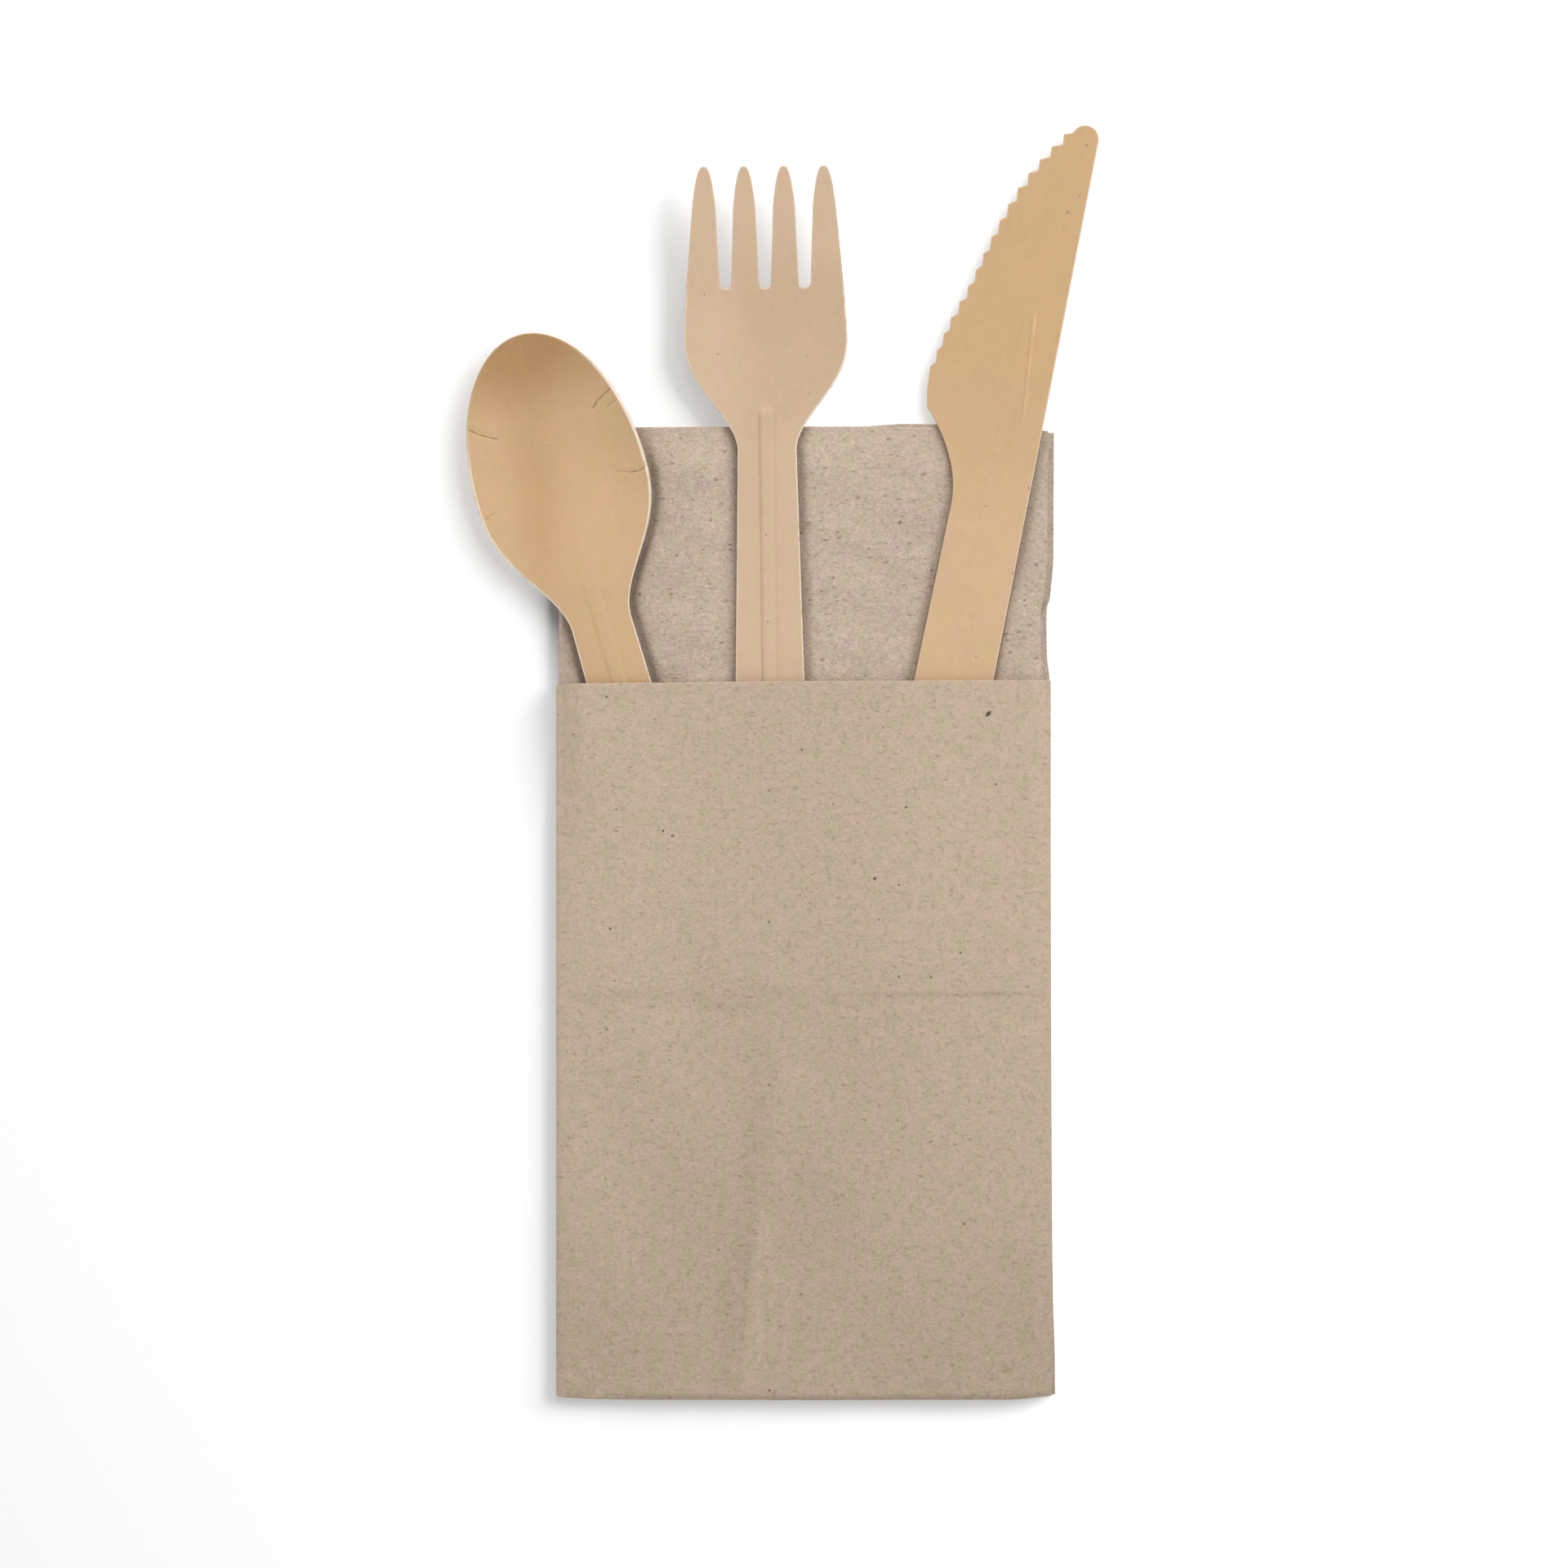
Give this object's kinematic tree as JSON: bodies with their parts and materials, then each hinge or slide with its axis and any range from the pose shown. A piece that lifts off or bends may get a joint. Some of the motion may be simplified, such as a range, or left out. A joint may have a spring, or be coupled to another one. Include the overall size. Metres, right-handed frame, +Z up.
{
  "type": "paper cutlery set",
  "caption": "Disposable fork, knife and spoon pressed from plain board, tucked into the pocket of a folded paper napkin.",
  "frame": {"origin": "on the table, at the centre of the folded napkin's underside", "axes": "+Y from the napkin's bottom fold towards the tips of the cutlery, +X to the right as seen from above, +Z up"},
  "size_m": [0.1266, 0.2554, 0.0083],
  "materials": {
    "napkin_tissue": "unbleached recycled tissue, greige with dark fibres, matte",
    "fork_board": "smooth unbleached pressed board, pale tan, matte, cream at the cut edge",
    "knife_board": "smooth unbleached pressed board, tan, matte, cream at the cut edge",
    "spoon_board": "smooth unbleached pressed board, tan, matte, cream at the cut edge"
  },
  "bodies": {
    "root": {"napkin": "napkin_tissue", "fork": "fork_board", "knife": "knife_board", "spoon": "spoon_board"}
  },
  "joints": []
}
